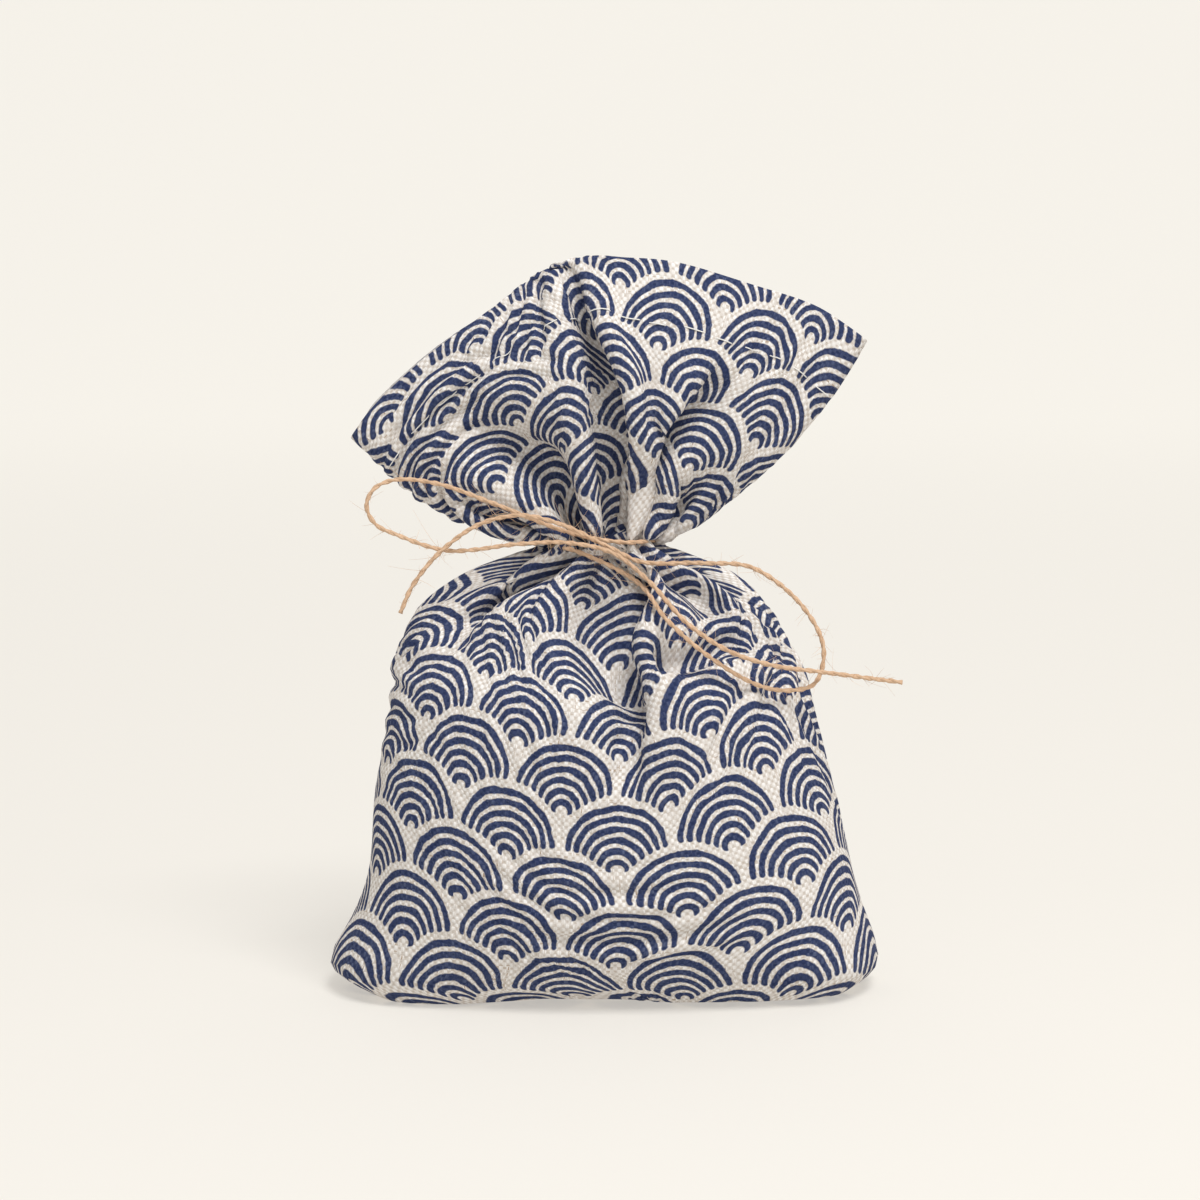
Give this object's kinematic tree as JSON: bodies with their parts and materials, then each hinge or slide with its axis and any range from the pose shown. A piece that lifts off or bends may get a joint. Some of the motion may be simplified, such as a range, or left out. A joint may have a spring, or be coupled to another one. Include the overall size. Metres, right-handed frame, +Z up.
{
  "type": "tied cloth pouch",
  "caption": "Small filled cloth pouch standing on its folded foot, its neck gathered and tied with jute twine in a bow under a flared collar.",
  "frame": {"origin": "on the floor under the middle of the pouch, twine left out", "axes": "+Z up along the pouch, +X to the right seen from the front, -Y towards the viewer of the bow"},
  "size_m": [0.1185, 0.0616, 0.154],
  "materials": {
    "canvas": "plain-woven natural canvas with a navy wave print, matte",
    "jute": "two-ply jute twine, golden tan, matte and hairy"
  },
  "bodies": {
    "root": {"pouch": "canvas", "twine": "jute"}
  },
  "joints": []
}
